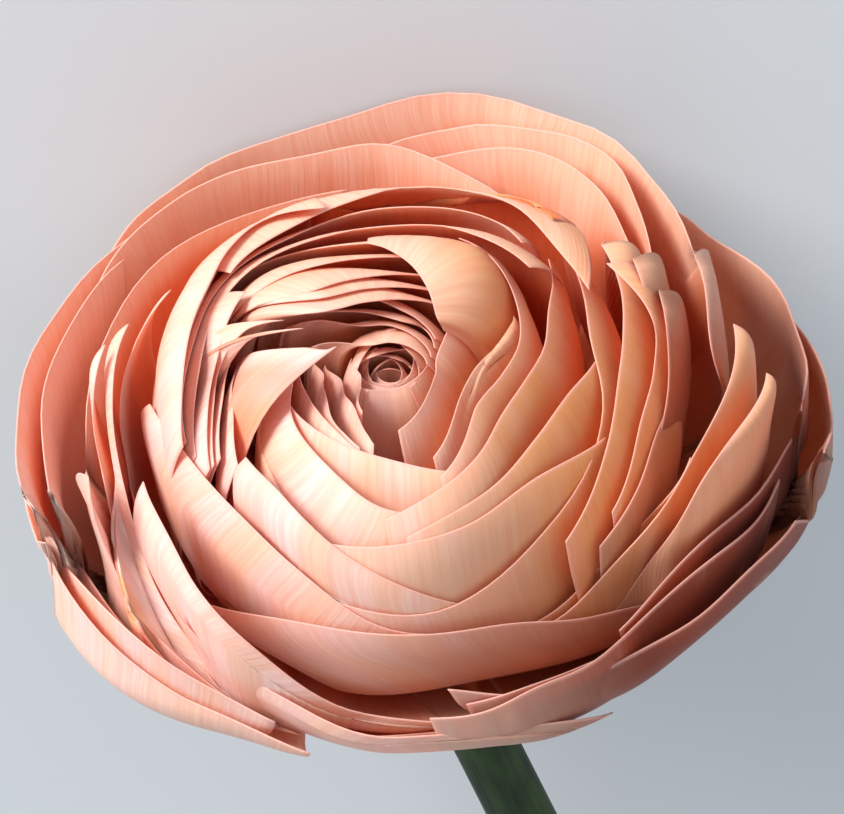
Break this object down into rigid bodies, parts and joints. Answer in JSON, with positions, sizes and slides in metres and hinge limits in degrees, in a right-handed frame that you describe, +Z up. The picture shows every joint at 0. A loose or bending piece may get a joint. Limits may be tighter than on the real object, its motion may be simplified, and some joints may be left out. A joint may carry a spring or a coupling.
{
  "type": "ranunculus flower",
  "caption": "Cut double ranunculus lying on a surface: a round bloom of layered petals on a bare stem.",
  "frame": {"origin": "middle of the lying flower's footprint, on the surface that it lies on", "axes": "+Z up, the bloom faces -Y, the stem's cut end lies towards +Y"},
  "size_m": [0.082, 0.1542, 0.0785],
  "materials": {
    "petal": "thin satin petals, peach with pink rims",
    "sepal": "soft light green, slightly downy",
    "stem": "smooth dark green"
  },
  "bodies": {
    "root": {"bloom": "petal", "calyx": "sepal", "stem": "stem"}
  },
  "joints": []
}
